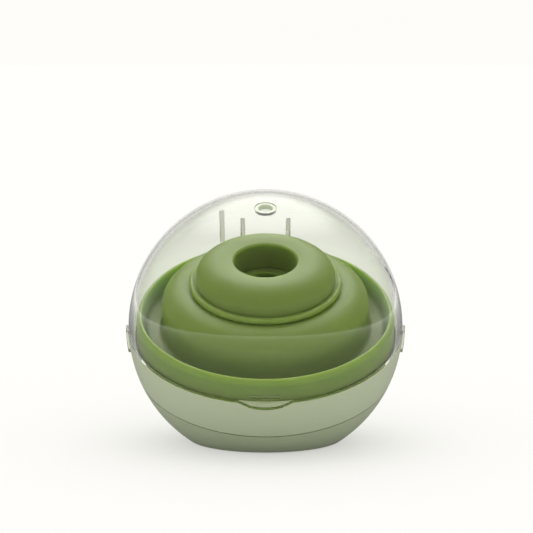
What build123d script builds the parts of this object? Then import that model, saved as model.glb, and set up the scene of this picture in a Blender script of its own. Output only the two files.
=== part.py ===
from build123d import *
import os
from math import cos, radians, sin, sqrt

# Ball-shaped steriliser case for a soother. Millimetres, +Z up, front towards -Y.
# The origin is the middle of the face that the case stands on.
#
# Most pieces are turned about the case axis, which leans towards the front by LEAN.
# They are drawn in the case frame: its origin is the middle of the ball, its XY plane
# is the seam where the lid meets the base, and its Z is the case axis. place() carries
# them to the row frame.

# Ball
BALL_R = 55.0
LEAN = 25.0  # degrees
CENTRE_HEIGHT = 46.4  # ball centre above the table
LID_WALL = 2.0
BASE_WALL = 2.4
SEAM_GAP = 0.15  # each side of the seam plane

# Groove between the two outer parts of the base
GROOVE_Z = -17.2
GROOVE_HALF = 0.25
SPIGOT_R = 49.6
SPIGOT_WALL = 1.4
SPIGOT_RISE = 3.6
SPIGOT_DROP = 2.9

# Rim of the base: ledge that carries the bowl and the tray
LEDGE_R = 50.4
LEDGE_TOP = -3.6
LEDGE_DEPTH = 3.0
FLANGE_T = 1.4
FLANGE_R = 52.0

# Flat and foot pad
FOOT_PROUD = 0.6
FOOT_T = 1.6
FOOT_R = 27.0
FOOT_FIT = 0.05  # gap all round in the seat
FLAT_T = 2.4

# Water bowl
BOWL_R = 49.2
BOWL_WALL = 1.6
BOWL_FLAT_Z = 5.2  # underside of its flat, above the table
FILL_Z = 14.0  # height of the fill line above the table
FILL_HALF = 0.4

# Tray: from its skirt in to a rounded rim, a trough and the mound that carries the cap
TRAY_WALL = 1.8
SKIRT_R = 51.95
SKIRT_TOP_R = 51.4
SKIRT_TOP_Z = 5.6
RIM_R = 50.3
RIM_R_IN = 49.3
RIM_Z = 8.5
RIM_ROUND = (51.0, 7.7)  # on the rounding between the skirt and the top of the rim
TROUGH_Z = 0.6
MOUND_R = 41.3
MOUND_TOP = 19.5
MOUND_CURVE = [(41.3, 9.0), (41.0, 12.9), (40.0, 15.3), (38.3, 16.95), (36.0, 18.4), (33.4, 19.3)]
STEAM_HOLE_R = 9.5
DRAIN_R = 1.2
DRAIN_RING_R = 44.5
POCKET_W = 11.0
POCKET_Z = (0.7, 2.8)
POCKET_FLOOR_R = 51.05
DIMPLE_R = 0.55
DIMPLE_X = 4.6
DIMPLE_Z = 1.75
LOCATING_RIB_R = 25.35
LOCATING_RIB_W = 1.4
LOCATING_RIB_TOP = 21.2

# Cap
CAP_R = 27.5
CAP_WALL = 1.6
CAP_TOP = 31.0
CAP_FOOT = 19.8
CAP_SIDE = [(27.4, 24.2), (27.0, 25.9), (26.1, 27.4), (24.7, 28.7)]
CAP_SHOULDER = [(22.6, 30.0), (20.2, 30.9), (17.4, 31.25)]
CAP_CURVE = CAP_SIDE + CAP_SHOULDER
CAP_BEAD_R = 30.1
CAP_BEAD_TOP = 22.2
WELL_R = 12.5
WELL_WALL = 1.4

# Lid features
VENT_HOLE_R = 4.32
VENT_R_OUT = 4.3
VENT_R_IN = 2.7
VENT_Z = (52.7, 54.7)
LIP_TIP_Y = -59.1  # thumb lip
LIP_HALF_W = 14.0
LIP_Z = (SEAM_GAP, 1.45)
EAR_Y = -3.0
EAR_HALF_W = 3.2
EAR_Z = (-9.3, 1.0)
EAR_R_IN = 55.1
EAR_R_OUT = 56.0
EAR_NOTCH_X = 53.6
EAR_NOTCH_HALF = 3.8
EAR_NOTCH_Z = -9.8
GUIDE_RIB_X = -18.2
GUIDE_RIB_W = 2.0
GUIDE_RIB_Z = (12.0, 33.7)
GUIDE_RIB_R = 51.9
BEAD_W = 10.8
BEAD_Z = (0.6, 2.5)
BEAD_R = 52.6

# Hinge, at the back of the seam
HINGE_Y = 58.6
HINGE_Z = 0.0
KNUCKLE_R = 3.2
PIN_R = 1.25
PIN_HALF_L = 11.2
BARREL_HALF_L = 8.7
BARREL_BORE_R = 1.27
GUSSET_X = 9.9
GUSSET_W = 1.8
GUSSET_BORE_R = 1.32
GUSSET_TOP_Z = 24.0
STOP_TOP = -3.75  # ledge under the hinge that the open lid lands on
STOP_TIP_Y = 61.2
STOP_LIP = 1.3
STOP_HALF_W = 10.9
CORBEL_MID_Y = 57.2
CORBEL_MID_Z = -7.4
CORBEL_FOOT_Z = -13.0

CASE_FRAME = Pos(0, 0, CENTRE_HEIGHT) * Rot(LEAN, 0, 0)
BIG = 200.0


def place(shape):
    """Carries a shape from the case frame to the row frame."""
    return CASE_FRAME * shape


def ball_width(radius, z):
    """Distance from the case axis to a ball of this radius, at height z in the case frame."""
    return sqrt(radius**2 - z**2)


def slab(z_low, z_high):
    """Everything between two heights."""
    return Pos(0, 0, (z_low + z_high) / 2) * Box(BIG, BIG, z_high - z_low)


def tube(r_in, r_out, z_low, z_high):
    height = z_high - z_low
    ring = Cylinder(r_out, height) - Cylinder(r_in, height)
    return Pos(0, 0, (z_low + z_high) / 2) * ring


def rod_x(radius, half_length):
    """Round bar along X on the hinge axis."""
    return Pos(0, HINGE_Y, HINGE_Z) * Rot(0, 90, 0) * Cylinder(radius, 2 * half_length)


def block(x, y, z):
    """Box from (low, high) pairs."""
    size = (x[1] - x[0], y[1] - y[0], z[1] - z[0])
    return Pos((x[0] + x[1]) / 2, (y[0] + y[1]) / 2, (z[0] + z[1]) / 2) * Box(*size)


def turned(*edges):
    """Solid turned about the case axis from a closed outline in the XZ plane."""
    outline = Wire(list(edges))
    return revolve(make_face(outline), Axis.Z)


def point(r, z):
    return Vector(r, 0, z)


def path(*steps):
    """Closed run of edges through steps.

    (r, z) is a straight run, (r, z, via_r, via_z) is an arc through a point, and a
    list of (r, z) is a smooth curve.
    """
    edges = []
    first = here = point(steps[0][0], steps[0][1])
    for step in steps[1:]:
        if isinstance(step, list):
            via = [point(r, z) for r, z in step]
            edges.append(Spline(here, *via))
            here = via[-1]
            continue
        end = point(step[0], step[1])
        if len(step) == 4:
            edges.append(ThreePointArc(here, point(step[2], step[3]), end))
        else:
            edges.append(Line(here, end))
        here = end
    edges.append(Line(here, first))
    return edges


def inside(curve, wall):
    """Points of a curve moved inwards by the wall, in the opposite order."""
    moved = []
    for before, here, after in zip(curve[:-2], curve[1:-1], curve[2:]):
        along_r = after[0] - before[0]
        along_z = after[1] - before[1]
        length = sqrt(along_r**2 + along_z**2)
        moved.append((here[0] - wall * along_z / length, here[1] + wall * along_r / length))
    return moved[::-1]


def hinge_plate(x_mid, width, outline):
    """Plate square to the hinge, from an outline of (y, z) edges."""
    face = make_face(Wire(outline))
    return Pos(x_mid - width / 2, 0, 0) * extrude(face, width, dir=(1, 0, 0))


# Lid ---------------------------------------------------------------------------------


def thumb_lip():
    """Crescent at the front of the rim, with a rounded front edge."""
    z_low, z_high = LIP_Z
    rim = ball_width(BALL_R, 0) - 0.6
    end_y = -sqrt(rim**2 - LIP_HALF_W**2)
    front = Spline(
        (-LIP_HALF_W, end_y),
        (-9.6, -55.1),
        (-5.4, -58.0),
        (0, LIP_TIP_Y),
        (5.4, -58.0),
        (9.6, -55.1),
        (LIP_HALF_W, end_y),
        tangents=[(rim, -LIP_HALF_W), (rim, LIP_HALF_W)],
    )
    back = ThreePointArc((LIP_HALF_W, end_y), (0, -rim + 0.4), (-LIP_HALF_W, end_y))
    plate = extrude(make_face(Wire([front, back])), z_high - z_low)
    plate = fillet(plate.edges().filter_by(Plane.XY).sort_by(Axis.Y)[:2], 0.35)
    return Pos(0, 0, z_low) * plate


def side_ear(side):
    """Thin tab that hangs from the rim over the base, following the ball."""
    z_low, z_high = EAR_Z
    shape = Pos(side * BALL_R, EAR_Y, (z_low + z_high) / 2) * Rot(0, 90, 0)
    window = shape * extrude(RectangleRounded(z_high - z_low, 2 * EAR_HALF_W, 1.6), 8, both=True)
    skin = Sphere(EAR_R_OUT) - Sphere(EAR_R_IN)
    root = (Sphere(EAR_R_OUT) - Sphere(BALL_R - LID_WALL / 2)) & slab(SEAM_GAP, EAR_Z[1])
    return (skin + root) & window


def guide_rib():
    """Rib on the rear wall inside the lid."""
    z_low, z_high = GUIDE_RIB_Z
    band = Sphere(BALL_R - LID_WALL / 2) - Sphere(GUIDE_RIB_R)
    half = GUIDE_RIB_W / 2
    return band & block((GUIDE_RIB_X - half, GUIDE_RIB_X + half), (0, BALL_R), (z_low, z_high))


def catch_bead():
    """Low bead inside the rim, behind the thumb lip."""
    band = Sphere(BALL_R - LID_WALL / 2) - Cylinder(BEAD_R, BIG)
    return band & block((-BEAD_W / 2, BEAD_W / 2), (-BALL_R, 0), BEAD_Z)


def hinge_gusset(side):
    """Fin behind the lid that ends in a hinge eye."""
    wall_r = BALL_R - LID_WALL / 2
    top_y = sqrt(ball_width(BALL_R, GUSSET_TOP_Z) ** 2 - GUSSET_X**2) - 0.1
    inner_y = sqrt(ball_width(wall_r, GUSSET_TOP_Z) ** 2 - GUSSET_X**2)
    foot_y = sqrt(ball_width(wall_r, SEAM_GAP) ** 2 - GUSSET_X**2)
    middle_y = sqrt(ball_width(wall_r, GUSSET_TOP_Z / 2) ** 2 - GUSSET_X**2)
    back = HINGE_Y + KNUCKLE_R
    outline = [
        ThreePointArc((0, back, HINGE_Z), (0, HINGE_Y - 0.3, 13.5), (0, top_y, GUSSET_TOP_Z)),
        Line((0, top_y, GUSSET_TOP_Z), (0, inner_y, GUSSET_TOP_Z)),
        ThreePointArc(
            (0, inner_y, GUSSET_TOP_Z), (0, middle_y, GUSSET_TOP_Z / 2), (0, foot_y, SEAM_GAP)
        ),
        Line((0, foot_y, SEAM_GAP), (0, HINGE_Y, SEAM_GAP)),
        Line((0, HINGE_Y, SEAM_GAP), (0, back, HINGE_Z)),
    ]
    fin = hinge_plate(side * GUSSET_X, GUSSET_W, outline)
    eye = Pos(side * GUSSET_X, 0, 0) * rod_x(KNUCKLE_R, GUSSET_W / 2)
    return fin + eye


def lid_dome():
    shell = (Sphere(BALL_R) - Sphere(BALL_R - LID_WALL)) & slab(SEAM_GAP, BIG)
    shell -= Pos(0, 0, BALL_R) * Cylinder(VENT_HOLE_R, 20)
    shell += thumb_lip()
    shell += guide_rib()
    shell += catch_bead()
    for side in (-1, 1):
        shell += side_ear(side)
        shell += hinge_gusset(side)
    return shell - rod_x(GUSSET_BORE_R, 15)


def vent_ring():
    z_low, z_high = VENT_Z
    ring = tube(VENT_R_IN, VENT_R_OUT, z_low, z_high)
    return fillet(ring.faces().sort_by(Axis.Z)[-1].edges(), 0.4)


# Base --------------------------------------------------------------------------------


def hinge_bracket():
    """Middle barrel of the hinge on a corbel, whose ledge stops the lid when it is open."""
    wall_r = BALL_R - BASE_WALL / 2
    foot_y = ball_width(wall_r, CORBEL_FOOT_Z)
    root_y = ball_width(wall_r, STOP_TOP)
    tip = (0, STOP_TIP_Y, STOP_TOP)
    under = (0, STOP_TIP_Y, STOP_TOP - STOP_LIP)
    foot = (0, foot_y, CORBEL_FOOT_Z)
    outline = [
        Line((0, root_y, STOP_TOP), tip),
        Line(tip, under),
        ThreePointArc(under, (0, CORBEL_MID_Y, CORBEL_MID_Z), foot),
        Line(foot, (0, root_y, STOP_TOP)),
    ]
    corbel = hinge_plate(0, 2 * STOP_HALF_W, outline)
    web = block((-BARREL_HALF_L, BARREL_HALF_L), (root_y, HINGE_Y), (STOP_TOP, -0.4))
    barrel = rod_x(KNUCKLE_R, BARREL_HALF_L)
    return barrel + ((web + corbel) - Sphere(BALL_R - BASE_WALL))


def base_shell():
    skin = (Sphere(BALL_R) - Sphere(BALL_R - BASE_WALL)) & slab(GROOVE_Z + GROOVE_HALF, -SEAM_GAP)
    outer = ball_width(BALL_R - BASE_WALL / 2, LEDGE_TOP)
    ledge = turned(
        *path(
            (outer, LEDGE_TOP),
            (LEDGE_R, LEDGE_TOP),
            (LEDGE_R, LEDGE_TOP - 0.8),
            (outer - 0.6, LEDGE_TOP - LEDGE_DEPTH),
        )
    )
    shell = skin + ledge + hinge_bracket()
    shell -= rod_x(BARREL_BORE_R, 15)
    for side in (-1, 1):
        low, high = sorted((side * EAR_NOTCH_X, side * BIG / 2))
        across = (EAR_Y - EAR_NOTCH_HALF, EAR_Y + EAR_NOTCH_HALF)
        shell -= block((low, high), across, (EAR_NOTCH_Z, 1))
    return shell


def above_table(height):
    """Everything above a height over the table, in the row frame."""
    return Pos(0, 0, height + BIG / 2) * Box(BIG, BIG, BIG)


def bottom_cover():
    rim_z = GROOVE_Z - GROOVE_HALF
    outer = place(Sphere(BALL_R) & slab(-BIG / 2, rim_z)) & above_table(FOOT_PROUD)
    hollow = place(Sphere(BALL_R - BASE_WALL)) & above_table(FOOT_PROUD + FLAT_T)
    spigot = tube(SPIGOT_R - SPIGOT_WALL, SPIGOT_R, GROOVE_Z - SPIGOT_DROP, GROOVE_Z + SPIGOT_RISE)
    seat = Cylinder(FOOT_R + FOOT_FIT, 2 * FOOT_T)
    flat_edge = outer.edges().filter_by(Plane.XY).sort_by(Axis.Z)[0]
    outer = fillet(flat_edge, 1.2)
    return (outer - hollow) + place(spigot) - seat


def foot_pad():
    pad = Pos(0, 0, FOOT_T / 2) * Cylinder(FOOT_R, FOOT_T)
    return fillet(pad.faces().sort_by(Axis.Z)[0].edges(), 0.35)


def water_bowl():
    inner_r = BOWL_R - BOWL_WALL
    top = LEDGE_TOP + FLANGE_T
    outer = place(Sphere(BOWL_R) & slab(-BIG / 2, top)) & above_table(BOWL_FLAT_Z)
    hollow = place(Sphere(inner_r)) & above_table(BOWL_FLAT_Z + BOWL_WALL)
    fill_band = Pos(0, 0, FILL_Z) * Box(BIG, BIG, 2 * FILL_HALF)
    fill_line = place(Sphere(inner_r + 0.2) - Sphere(inner_r - 0.4)) & fill_band
    flange = tube(ball_width(BOWL_R - BOWL_WALL / 2, top), FLANGE_R, LEDGE_TOP, top)
    return (outer - hollow) + place(flange) + fill_line


def hinge_pin():
    pin = rod_x(PIN_R, PIN_HALF_L)
    return chamfer(pin.edges().filter_by(GeomType.CIRCLE), 0.3)


# Tray and cap ------------------------------------------------------------------------


def tray_outline():
    foot = LEDGE_TOP + FLANGE_T + 0.1
    under = MOUND_TOP - TRAY_WALL
    mound_in = MOUND_R - TRAY_WALL
    floor = TROUGH_Z - TRAY_WALL
    rib_in = LOCATING_RIB_R - LOCATING_RIB_W
    return path(
        (SKIRT_R, foot),
        (SKIRT_R, -0.3),
        (SKIRT_TOP_R, SKIRT_TOP_Z),
        (RIM_R - 0.3, RIM_Z, *RIM_ROUND),
        (RIM_R_IN + 0.4, RIM_Z),
        (RIM_R_IN, RIM_Z - 0.4, RIM_R_IN + 0.12, RIM_Z - 0.12),
        (RIM_R_IN - 0.9, TROUGH_Z + 2.6),
        (RIM_R_IN - 3.3, TROUGH_Z, RIM_R_IN - 1.7, TROUGH_Z + 0.7),
        (MOUND_R + 1.8, TROUGH_Z),
        (MOUND_R + 0.2, TROUGH_Z + 1.6, MOUND_R + 0.67, TROUGH_Z + 0.47),
        [*MOUND_CURVE, (CAP_BEAD_R, MOUND_TOP)],
        (LOCATING_RIB_R, MOUND_TOP),
        (LOCATING_RIB_R - 0.2, LOCATING_RIB_TOP),
        (rib_in + 0.2, LOCATING_RIB_TOP),
        (rib_in, MOUND_TOP),
        (STEAM_HOLE_R, MOUND_TOP),
        (STEAM_HOLE_R, under),
        (CAP_BEAD_R, under),
        [*inside(MOUND_CURVE, TRAY_WALL), (mound_in, MOUND_CURVE[0][1] - 2)],
        (mound_in + 0.2, floor),
        (SKIRT_R - 2.2, floor),
        (SKIRT_R - 2.2, foot),
    )


def soother_tray():
    tray = turned(*tray_outline())
    tray -= block((-POCKET_W / 2, POCKET_W / 2), (-BALL_R, -POCKET_FLOOR_R), POCKET_Z)
    for side in (-1, 1):
        tray -= Pos(side * DIMPLE_X, -POCKET_FLOOR_R, DIMPLE_Z) * Sphere(DIMPLE_R)
    for turn in (-32, 0, 32):
        hole = Pos(0, -DRAIN_RING_R, TROUGH_Z) * Cylinder(DRAIN_R, 8)
        tray -= Rot(0, 0, turn) * hole
    return tray


def cap_outline():
    skirt_in = CAP_R - CAP_WALL
    well_out = WELL_R + WELL_WALL
    well_foot = CAP_FOOT + 0.25
    bead_mid = (CAP_FOOT + CAP_BEAD_TOP) / 2
    bead_top_r = CAP_BEAD_R - 1.1
    return path(
        (skirt_in, CAP_FOOT),
        (CAP_BEAD_R - 0.7, CAP_FOOT),
        (CAP_BEAD_R, bead_mid, CAP_BEAD_R - 0.15, CAP_FOOT + 0.4),
        (bead_top_r, CAP_BEAD_TOP, CAP_BEAD_R - 0.3, CAP_BEAD_TOP - 0.25),
        (CAP_R, CAP_BEAD_TOP - 0.3, bead_top_r - 0.8, CAP_BEAD_TOP - 0.25),
        [*CAP_CURVE, (WELL_R + 1.2, CAP_TOP)],
        (WELL_R, CAP_TOP - 0.9, WELL_R + 0.35, CAP_TOP - 0.2),
        (WELL_R, well_foot),
        (well_out, well_foot),
        (well_out, CAP_TOP - CAP_WALL),
        [*inside(CAP_CURVE, CAP_WALL), (skirt_in, CAP_BEAD_TOP)],
    )


def soother_cap():
    return turned(*cap_outline())


# Output ------------------------------------------------------------------------------

CASE_FRAME_PARTS = {
    "lid_dome": lid_dome,
    "vent_ring": vent_ring,
    "base_shell": base_shell,
    "hinge_pin": hinge_pin,
    "soother_tray": soother_tray,
    "soother_cap": soother_cap,
}
ROW_FRAME_PARTS = {
    "bottom_cover": bottom_cover,
    "foot_pad": foot_pad,
    "water_bowl": water_bowl,
}

os.makedirs("parts", exist_ok=True)
for name, make in CASE_FRAME_PARTS.items():
    export_step(place(make()), f"parts/{name}.step")
for name, make in ROW_FRAME_PARTS.items():
    export_step(make(), f"parts/{name}.step")

seam_axis = (0, -sin(radians(LEAN)), cos(radians(LEAN)))
hinge_point = place(Pos(0, HINGE_Y, HINGE_Z)).position
print("case axis", [round(v, 6) for v in seam_axis])
print("hinge", [round(v, 3) for v in hinge_point])
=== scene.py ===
from math import asin, cos, pi, radians, sin, tan

import bmesh
import bpy
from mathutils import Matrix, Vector


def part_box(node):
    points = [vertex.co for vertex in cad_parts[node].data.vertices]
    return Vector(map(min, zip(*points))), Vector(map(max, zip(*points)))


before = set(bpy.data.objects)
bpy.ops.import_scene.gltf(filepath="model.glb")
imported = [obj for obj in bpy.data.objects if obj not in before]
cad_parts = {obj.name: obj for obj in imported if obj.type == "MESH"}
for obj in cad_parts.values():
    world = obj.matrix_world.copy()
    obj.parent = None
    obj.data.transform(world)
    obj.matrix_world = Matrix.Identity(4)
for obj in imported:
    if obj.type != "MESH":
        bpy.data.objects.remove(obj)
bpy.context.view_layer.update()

# Looks for a ball-shaped steriliser case: clear lid, green insert, pale green base.
# Metres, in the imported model's frame: +Z up, front towards -Y, origin under the case.
# The case axis leans towards the front; the seam between lid and base is square to it.

BALL_R = 0.055
BALL_CENTRE = Vector((0, 0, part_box("lid_dome")[1].z - BALL_R))
LEAN = radians(25)
CASE_AXIS = Vector((0, -sin(LEAN), cos(LEAN)))
LID_WALL = 0.002
OFF_WALL = 0.0001  # what stands this far off the lid's wall is a rib or a fin
PAINTED_EDGE_BAND = (-0.001, 0.0004)  # heights above the seam of the lid's bottom edge, the band where a pale highlight is painted

# Camera
PICTURE_SIDE = 533  # pixels
BALL_PIXEL = (265.5, 326.0)  # where the ball's centre shows
BALL_R_PIXELS = 137.0
CAMERA_DISTANCE = 0.9
CAMERA_LOOKS_DOWN = radians(8.1)
SENSOR_MM = 36.0
CLIP = (0.1, 50.0)  # nothing nearer or farther shows

# Studio. A light level of 1 lights a white surface to white. A span is how squarely a
# direction faces a place (1 straight at it, -1 straight away) where that place begins to
# show, and where it shows in full.
FLOOR_R = 6.0
KEY_FROM = Vector((0, 0.6, 1.0))  # the softbox hangs high, a little behind the case
KEY_SPREAD = radians(70)  # its width, as seen from the case
KEY_LIGHT = 0.25
FILL_FROM = Vector((0, 0.2, 1.0))  # the room lights the case most from here
FILL_SPAN = (-0.8, 0.8)
ROOM_LIGHT = (0.6, 1.15)  # from the far side of the room, and from the fill's side
CEILING = Vector((0, 0.5, 0.866))  # the brightest part of the room, as gloss shows it
CEILING_SPAN = (0.79, 0.97)
CEILING_GLOSS = 3.0
BACKDROP = Vector((0, 1, 0))  # straight behind the case
BACKDROP_SPAN = (0.93, 0.99)
REAR_SPAN = (0.1, 0.6)  # the rear half of the room, as it shows through clear plastic
DARK_GLOSS = 0.04  # the rest of the room, as gloss shows it
FLOOR_GLOSS = (0.3, 1.0)  # the floor near to and far from the case, as gloss shows it
FLOOR_FADE = (0.3, 2.0)  # how far off those two are
PALE = (0.991, 0.982, 0.947)  # the studio's white, and the highlight painted on the lid's bottom edge
FLOOR_TONE = 0.68  # how much light the floor sends back to the case
FLOOR_SHADOW = 0.36  # the part of the floor's look that comes from the light on it
OPEN_FLOOR_LIGHT = 1.28  # light on the open floor

# Colours, as linear red, green and blue
CLEAR_TINT = (0.95, 0.965, 0.92)
VENT_GREEN = (0.62, 0.67, 0.52)
# painted shade: olive tint for the dark that the clear ribs and hinge fins show through their edges
RIB_PAINTED_SHADE = (0.62, 0.66, 0.48)
INSERT_GREEN = (0.20, 0.28, 0.07)
BASE_GREEN = (0.48, 0.54, 0.375)
BOTTOM_GREEN = (0.41, 0.47, 0.31)
BOWL_GREEN = (0.56, 0.62, 0.48)
FOOT_GREEN = (0.10, 0.12, 0.07)

# How shiny the plastics are: the strength of their reflections, 0.5 being plain plastic
PLAIN_SHINE = 0.5
INSERT_SHINE = 1.0
LID_SHINE = 0.25
SOLID_IOR = 1.5  # of the solid plastics and the rubber
LID_IOR = 1.49
RIB_EXTRA_ROUGHNESS = 0.6
FACE_SHARE = 0.5  # light crosses two faces of the wall, so each tints it by the root

# Light that strays about inside the insert before it comes out
INSERT_GLOW = 1.0  # the share of it
GLOW_DEPTH = 0.01
GLOW_REACH = (0.8, 1.0, 0.3)  # of that depth, for red, green and blue

# Texture sizes, as noise scales per metre, and depths
FLOW_SCALE = 32.0
PATCH_SCALE = 75.0
SPECK_SCALE = 900.0
SKIN_GRAIN = 700.0
RUBBER_GRAIN = 1400.0
HAIRLINE_SCALE = 60.0
HAIRLINE_STRETCH = (9.0, 1.0, 1.6)
HAIRLINE_TURN = (0.5, 0.35, 0.8)
HAIRLINE_CUT = (0.6, 0.72)  # the noise levels where a hairline begins and is full
SKIN_WAVE_DEPTH = 0.000004
RUBBER_GRAIN_DEPTH = 0.00006

HALF_STEP = 0.5

# A Mix node repeats its socket names, so its colour sockets go by their places
MIX_COLOURS_IN = (6, 7)
MIX_COLOUR_OUT = 2


# Node helpers ------------------------------------------------------------------------


def add(tree, kind, inputs=None, **settings):
    """Adds a node. inputs holds socket values, or output sockets to link from."""
    made = tree.nodes.new(kind)
    for key, value in settings.items():
        setattr(made, key, value)
    for key, value in (inputs or {}).items():
        if isinstance(value, bpy.types.NodeSocket):
            tree.links.new(value, made.inputs[key])
        else:
            made.inputs[key].default_value = value
    return made


def maths(tree, operation, *values):
    return add(tree, "ShaderNodeMath", dict(enumerate(values)), operation=operation).outputs[0]


def blend_floats(tree, factor, a, b):
    inputs = {"Factor": factor, "A": a, "B": b}
    return add(tree, "ShaderNodeMix", inputs, data_type="FLOAT").outputs["Result"]


def blend_colours(tree, factor, a, b):
    """a and b are colour sockets, or (red, green, blue)."""
    inputs = {"Factor": factor}
    for place, value in zip(MIX_COLOURS_IN, (a, b)):
        inputs[place] = value if isinstance(value, bpy.types.NodeSocket) else rgba(value)
    return add(tree, "ShaderNodeMix", inputs, data_type="RGBA").outputs[MIX_COLOUR_OUT]


def ramp(tree, value, span, levels=(0.0, 1.0), curve="LINEAR"):
    """Goes from the first level to the second while value crosses the span."""
    inputs = {
        "Value": value,
        "From Min": span[0],
        "From Max": span[1],
        "To Min": levels[0],
        "To Max": levels[1],
    }
    return add(tree, "ShaderNodeMapRange", inputs, interpolation_type=curve).outputs[0]


def noise(tree, place, scale, detail, roughness=0.5):
    inputs = {"Vector": place, "Scale": scale, "Detail": detail, "Roughness": roughness}
    return add(tree, "ShaderNodeTexNoise", inputs).outputs["Fac"]


def rgba(colour):
    return (*colour, 1.0)


def group_shell(name, takes, gives):
    """New shader node group with named (socket type, name, default) inputs and outputs."""
    tree = bpy.data.node_groups.new(name, "ShaderNodeTree")
    for kind, label, default in takes:
        socket = tree.interface.new_socket(label, in_out="INPUT", socket_type=kind)
        socket.default_value = default
    for kind, label in gives:
        tree.interface.new_socket(label, in_out="OUTPUT", socket_type=kind)
    return tree, tree.nodes.new("NodeGroupInput").outputs, tree.nodes.new("NodeGroupOutput").inputs


def new_material(name):
    material = bpy.data.materials.new(name)
    material.use_nodes = True
    material.node_tree.nodes.clear()
    return material, material.node_tree


def finish_material(tree, shader):
    add(tree, "ShaderNodeOutputMaterial", {"Surface": shader})


# Shader groups -----------------------------------------------------------------------


def make_moulded_skin():
    """Pigment that drifts a little, roughness that isn't quite even, and a fine grain."""
    tree, takes, gives = group_shell(
        "moulded skin",
        [
            ("NodeSocketColor", "Colour", (0.5, 0.5, 0.5, 1)),
            ("NodeSocketFloat", "Pigment Drift", 0.04),
            ("NodeSocketFloat", "Roughness", 0.2),
            ("NodeSocketFloat", "Roughness Drift", 0.04),
            ("NodeSocketFloat", "Grain Scale", SKIN_GRAIN),
        ],
        [
            ("NodeSocketColor", "Colour"),
            ("NodeSocketFloat", "Roughness"),
            ("NodeSocketFloat", "Height"),
        ],
    )
    place = add(tree, "ShaderNodeTexCoord").outputs["Object"]
    flow = noise(tree, place, FLOW_SCALE, detail=2.0)
    speck = noise(tree, place, SPECK_SCALE, detail=1.0)
    centred = maths(tree, "SUBTRACT", maths(tree, "ADD", flow, speck), 1.0)
    drift = maths(tree, "MULTIPLY_ADD", centred, takes["Pigment Drift"], 1.0)
    tone = add(tree, "ShaderNodeVectorMath", {0: takes["Colour"], "Scale": drift}, operation="SCALE")
    patches = maths(tree, "SUBTRACT", noise(tree, place, PATCH_SCALE, detail=3.0), 0.5)
    rough = maths(tree, "MULTIPLY_ADD", patches, takes["Roughness Drift"], takes["Roughness"])
    tree.links.new(tone.outputs[0], gives["Colour"])
    tree.links.new(rough, gives["Roughness"])
    tree.links.new(noise(tree, place, takes["Grain Scale"], detail=1.0), gives["Height"])
    return tree


def make_handling_marks():
    """Faint hairlines, as plastic gets from being wiped and carried: 0 clean, Amount marked."""
    tree, takes, gives = group_shell(
        "handling marks",
        [("NodeSocketFloat", "Amount", 0.5)],
        [("NodeSocketFloat", "Mask")],
    )
    place = add(tree, "ShaderNodeTexCoord").outputs["Object"]
    stretch = {"Vector": place, "Scale": HAIRLINE_STRETCH, "Rotation": HAIRLINE_TURN}
    stretched = add(tree, "ShaderNodeMapping", stretch).outputs[0]
    lines = noise(tree, stretched, HAIRLINE_SCALE, detail=6.0, roughness=0.7)
    thin = ramp(tree, lines, HAIRLINE_CUT)
    tree.links.new(maths(tree, "MULTIPLY", thin, takes["Amount"]), gives["Mask"])
    return tree


def make_lid_zones():
    """Where the lid isn't plain wall: its ribs and hinge fins, where shade is painted, and its bottom
    edge, where a highlight is painted.
    """
    tree, _, gives = group_shell(
        "lid zones", [], [("NodeSocketFloat", "Ribs"), ("NodeSocketFloat", "Painted Highlight")]
    )
    place = add(tree, "ShaderNodeTexCoord").outputs["Object"]
    from_centre = add(
        tree, "ShaderNodeVectorMath", {0: place, 1: tuple(BALL_CENTRE)}, operation="SUBTRACT"
    ).outputs[0]
    reach = add(tree, "ShaderNodeVectorMath", {0: from_centre}, operation="LENGTH").outputs["Value"]
    height = add(
        tree, "ShaderNodeVectorMath", {0: from_centre, 1: tuple(CASE_AXIS)}, operation="DOT_PRODUCT"
    ).outputs["Value"]
    proud = maths(tree, "GREATER_THAN", reach, BALL_R + OFF_WALL)
    inside = maths(tree, "LESS_THAN", reach, BALL_R - LID_WALL - OFF_WALL)
    off_wall = maths(tree, "MAXIMUM", proud, inside)
    depth = add(tree, "ShaderNodeSeparateXYZ", {0: from_centre}).outputs["Y"]
    rear = maths(tree, "GREATER_THAN", depth, 0.0)
    over = maths(tree, "GREATER_THAN", height, PAINTED_EDGE_BAND[0])
    under = maths(tree, "LESS_THAN", height, PAINTED_EDGE_BAND[1])
    tree.links.new(maths(tree, "MULTIPLY", off_wall, rear), gives["Ribs"])
    tree.links.new(maths(tree, "MULTIPLY", over, under), gives["Painted Highlight"])
    return tree


MOULDED_SKIN = make_moulded_skin()
HANDLING_MARKS = make_handling_marks()
LID_ZONES = make_lid_zones()


def skin(tree, colour, drift, rough, rough_drift, grain_scale=SKIN_GRAIN):
    """Moulded skin in a material; drift and rough_drift are how much colour and roughness vary."""
    inputs = {
        "Colour": rgba(colour),
        "Pigment Drift": drift,
        "Roughness": rough,
        "Roughness Drift": rough_drift,
        "Grain Scale": grain_scale,
    }
    return add(tree, "ShaderNodeGroup", inputs, node_tree=MOULDED_SKIN).outputs


def scuffed(tree, roughness, amount):
    """Roughness with the handling marks added."""
    marks = add(tree, "ShaderNodeGroup", {"Amount": amount}, node_tree=HANDLING_MARKS)
    return maths(tree, "ADD", roughness, marks.outputs["Mask"])


# Materials ---------------------------------------------------------------------------


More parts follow.
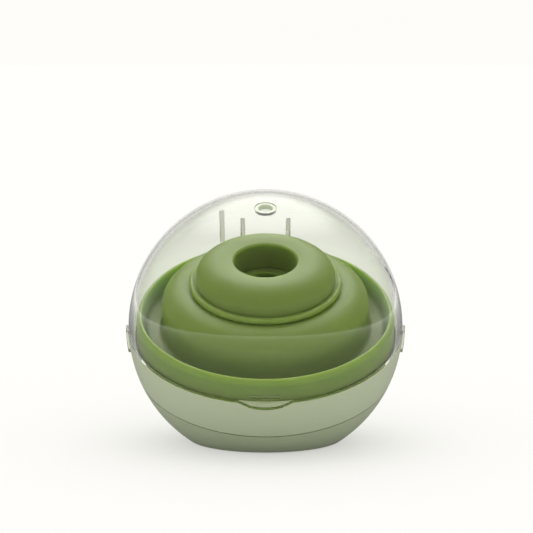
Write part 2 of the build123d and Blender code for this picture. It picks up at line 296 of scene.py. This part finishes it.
def solid_plastic(name, colour, rough, drift=0.03, glow=0.0, shine=PLAIN_SHINE):
    """Moulded plastic; glow is the share of its light that has strayed about inside it."""
    material, tree = new_material(name)
    surface = skin(tree, colour, drift, rough, rough_drift=0.06)
    waves = add(tree, "ShaderNodeBump", {"Height": surface["Height"], "Distance": SKIN_WAVE_DEPTH})
    shader = add(
        tree,
        "ShaderNodeBsdfPrincipled",
        {
            "Base Color": surface["Colour"],
            "Roughness": scuffed(tree, surface["Roughness"], amount=0.06),
            "IOR": SOLID_IOR,
            "Specular IOR Level": shine,
            "Normal": waves.outputs[0],
            "Subsurface Weight": glow,
            "Subsurface Radius": GLOW_REACH,
            "Subsurface Scale": GLOW_DEPTH,
        },
    )
    finish_material(tree, shader.outputs[0])
    return material


def lid_look(tree):
    """Colour and roughness of the lid: clear wall, rougher ribs tinted olive as painted shade, and a
    pale painted highlight on its bottom edge.
    """
    surface = skin(tree, CLEAR_TINT, drift=0.02, rough=0.03, rough_drift=0.02)
    where = add(tree, "ShaderNodeGroup", node_tree=LID_ZONES).outputs
    # painted shade: the ribs and hinge fins are tinted olive
    colour = blend_colours(tree, where["Ribs"], surface["Colour"], RIB_PAINTED_SHADE)
    # painted highlight: a pale band along the lid's bottom edge
    colour = blend_colours(tree, where["Painted Highlight"], colour, PALE)
    rough = scuffed(tree, surface["Roughness"], amount=0.05)
    return colour, maths(tree, "MULTIPLY_ADD", where["Ribs"], RIB_EXTRA_ROUGHNESS, rough)


def passes_unbent(tree):
    """1 for light on its way to what is inside the lid, so that the case is lit plainly.

    That is shadow and diffuse rays, and mirrored rays outside the wall. Rays that go
    straight through are bent, and so are those inside the wall, where the count of
    crossings is odd.
    """
    rays = add(tree, "ShaderNodeLightPath").outputs
    in_wall = maths(tree, "MODULO", rays["Transmission Depth"], 2.0)
    mirrored = maths(tree, "SUBTRACT", rays["Is Reflection Ray"], in_wall)
    unbent = maths(tree, "MAXIMUM", rays["Is Shadow Ray"], rays["Is Diffuse Ray"])
    return maths(tree, "MAXIMUM", unbent, mirrored)


def clear_plastic(name):
    """The lid's see-through plastic."""
    material, tree = new_material(name)
    colour, rough = lid_look(tree)
    bending = add(
        tree,
        "ShaderNodeBsdfPrincipled",
        {
            "Base Color": colour,
            "Roughness": rough,
            "IOR": LID_IOR,
            "Specular IOR Level": LID_SHINE,
            "Transmission Weight": 1.0,
        },
    )
    one_face = add(tree, "ShaderNodeGamma", {"Color": colour, "Gamma": FACE_SHARE})
    passing = add(tree, "ShaderNodeBsdfTransparent", {"Color": one_face.outputs[0]})
    shaders = {0: passes_unbent(tree), 1: bending.outputs[0], 2: passing.outputs[0]}
    finish_material(tree, add(tree, "ShaderNodeMixShader", shaders).outputs[0])
    return material


def soft_rubber(name, colour):
    material, tree = new_material(name)
    surface = skin(tree, colour, drift=0.12, rough=0.62, rough_drift=0.12, grain_scale=RUBBER_GRAIN)
    grain = add(tree, "ShaderNodeBump", {"Height": surface["Height"], "Distance": RUBBER_GRAIN_DEPTH})
    inputs = {
        "Base Color": surface["Colour"],
        "Roughness": surface["Roughness"],
        "IOR": SOLID_IOR,
        "Normal": grain.outputs[0],
    }
    finish_material(tree, add(tree, "ShaderNodeBsdfPrincipled", inputs).outputs[0])
    return material


INSERT_PLASTIC = solid_plastic(
    "insert plastic", INSERT_GREEN, rough=0.5, glow=INSERT_GLOW, shine=INSERT_SHINE
)
FINISHES = {
    "lid_dome": clear_plastic("clear lid plastic"),
    "vent_ring": solid_plastic("vent ring plastic", VENT_GREEN, rough=0.25),
    "soother_cap": INSERT_PLASTIC,
    "soother_tray": INSERT_PLASTIC,
    "base_shell": solid_plastic("base plastic", BASE_GREEN, rough=0.3),
    "bottom_cover": solid_plastic("bottom cover plastic", BOTTOM_GREEN, rough=0.32),
    "water_bowl": solid_plastic("bowl plastic", BOWL_GREEN, rough=0.26),
    "hinge_pin": solid_plastic("pin plastic", BASE_GREEN, rough=0.4, drift=0.05),
    "foot_pad": soft_rubber("foot rubber", FOOT_GREEN),
}

for name, material in FINISHES.items():
    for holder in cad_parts[name].material_slots:
        holder.material = material


# Studio ------------------------------------------------------------------------------


def looking_straight(tree, rays, own_step):
    """1 for what the camera sees directly or through clear walls, with no mirroring.

    own_step is what Ray Depth counts for the thing itself: 0 for a surface, 1 for the world.
    The counts are whole numbers, so the test lies half a step above it.
    """
    turned_back = maths(tree, "SUBTRACT", rays["Ray Depth"], rays["Transmission Depth"])
    return maths(tree, "LESS_THAN", turned_back, own_step + HALF_STEP)


def floor_material():
    """Floor that looks nearly white but keeps the case's shadow, and lights the case plainly."""
    material, tree = new_material("pale floor")
    place = add(tree, "ShaderNodeTexCoord").outputs["Object"]
    away = add(tree, "ShaderNodeVectorMath", {0: place}, operation="LENGTH").outputs["Value"]
    rays = add(tree, "ShaderNodeLightPath").outputs
    straight = looking_straight(tree, rays, 0)
    in_gloss = maths(tree, "MAXIMUM", rays["Is Glossy Ray"], rays["Is Transmission Ray"])
    looked_at = maths(tree, "MAXIMUM", straight, in_gloss)
    gloss_level = maths(tree, "MULTIPLY", in_gloss, ramp(tree, away, FLOOR_FADE, FLOOR_GLOSS))
    level = maths(tree, "MAXIMUM", gloss_level, straight)
    lit_part = maths(tree, "MULTIPLY", level, FLOOR_SHADOW)
    tone = blend_floats(tree, looked_at, FLOOR_TONE, lit_part)
    grey = add(tree, "ShaderNodeCombineColor", {i: tone for i in range(3)})
    matt = add(tree, "ShaderNodeBsdfDiffuse", {"Color": grey.outputs[0]})
    plain_part = maths(tree, "MULTIPLY", level, 1 - FLOOR_SHADOW * OPEN_FLOOR_LIGHT)
    glow = add(tree, "ShaderNodeEmission", {"Color": rgba(PALE), "Strength": plain_part})
    both = add(tree, "ShaderNodeAddShader", {0: matt.outputs[0], 1: glow.outputs[0]})
    finish_material(tree, both.outputs[0])
    return material


def make_floor():
    shape = bmesh.new()
    bmesh.ops.create_circle(shape, cap_ends=True, radius=FLOOR_R, segments=96)
    mesh = bpy.data.meshes.new("floor")
    shape.to_mesh(mesh)
    shape.free()
    mesh.materials.append(floor_material())
    floor = bpy.data.objects.new("floor", mesh)
    bpy.context.scene.collection.objects.link(floor)


def facing(tree, way, towards):
    """How squarely a direction faces another: 1 straight at it, -1 straight away."""
    inputs = {0: way, 1: tuple(towards.normalized())}
    return add(tree, "ShaderNodeVectorMath", inputs, operation="DOT_PRODUCT").outputs["Value"]


def make_room():
    """World: white where it is looked straight at.

    Its light comes most from overhead. Gloss shows a dark room with a bright ceiling and
    backdrop, and clear plastic shows the same dark room growing pale towards its rear.
    """
    world = bpy.data.worlds.new("pale room")
    bpy.context.scene.world = world
    world.use_nodes = True
    tree = world.node_tree
    tree.nodes.clear()
    way = add(tree, "ShaderNodeTexCoord").outputs["Generated"]
    rays = add(tree, "ShaderNodeLightPath").outputs
    to_rear = facing(tree, way, BACKDROP)
    light = ramp(tree, facing(tree, way, FILL_FROM), FILL_SPAN, ROOM_LIGHT, "SMOOTHSTEP")
    ceiling_levels = (DARK_GLOSS, CEILING_GLOSS)
    ceiling = ramp(tree, facing(tree, way, CEILING), CEILING_SPAN, ceiling_levels, "SMOOTHSTEP")
    backdrop = ramp(tree, to_rear, BACKDROP_SPAN, curve="SMOOTHSTEP")
    gloss = maths(tree, "MAXIMUM", ceiling, backdrop)
    through = ramp(tree, to_rear, REAR_SPAN, (DARK_GLOSS, 1.0))
    level = blend_floats(tree, rays["Is Glossy Ray"], light, gloss)
    level = blend_floats(tree, rays["Is Transmission Ray"], level, through)
    level = blend_floats(tree, looking_straight(tree, rays, 1), level, 1.0)
    shine = add(tree, "ShaderNodeBackground", {"Color": rgba(PALE), "Strength": level})
    add(tree, "ShaderNodeOutputWorld", {"Surface": shine.outputs[0]})
    world.cycles.sampling_method = "NONE"  # sampling it as a lamp would ignore the ray kinds


def aim(thing, place, target):
    thing.location = place
    thing.rotation_euler = (target - place).to_track_quat("-Z", "Y").to_euler()


def make_key_light():
    """A wide softbox overhead, made as a sun of that width, so it lights the floor evenly."""
    lamp = bpy.data.lights.new("overhead softbox", "SUN")
    lamp.angle = KEY_SPREAD
    lamp.energy = KEY_LIGHT * pi
    softbox = bpy.data.objects.new("overhead softbox", lamp)
    bpy.context.scene.collection.objects.link(softbox)
    softbox.visible_glossy = False
    softbox.visible_transmission = False
    aim(softbox, BALL_CENTRE + KEY_FROM, BALL_CENTRE)


def make_camera():
    """Looks a little down at the ball; the lens is shifted to put the ball on its pixel."""
    lens = bpy.data.cameras.new("camera")
    pixels_to_focus = BALL_R_PIXELS / tan(asin(BALL_R / CAMERA_DISTANCE))
    lens.sensor_width = SENSOR_MM
    lens.lens = SENSOR_MM * pixels_to_focus / PICTURE_SIDE
    lens.shift_x = 0.5 - BALL_PIXEL[0] / PICTURE_SIDE
    lens.shift_y = BALL_PIXEL[1] / PICTURE_SIDE - 0.5
    lens.clip_start = CLIP[0]
    lens.clip_end = CLIP[1]
    camera = bpy.data.objects.new("camera", lens)
    bpy.context.scene.collection.objects.link(camera)
    back = Vector((0, -cos(CAMERA_LOOKS_DOWN), sin(CAMERA_LOOKS_DOWN)))
    aim(camera, BALL_CENTRE + back * CAMERA_DISTANCE, BALL_CENTRE)
    bpy.context.scene.camera = camera


make_floor()
make_room()
make_key_light()
make_camera()
bpy.context.scene.view_settings.view_transform = "Standard"
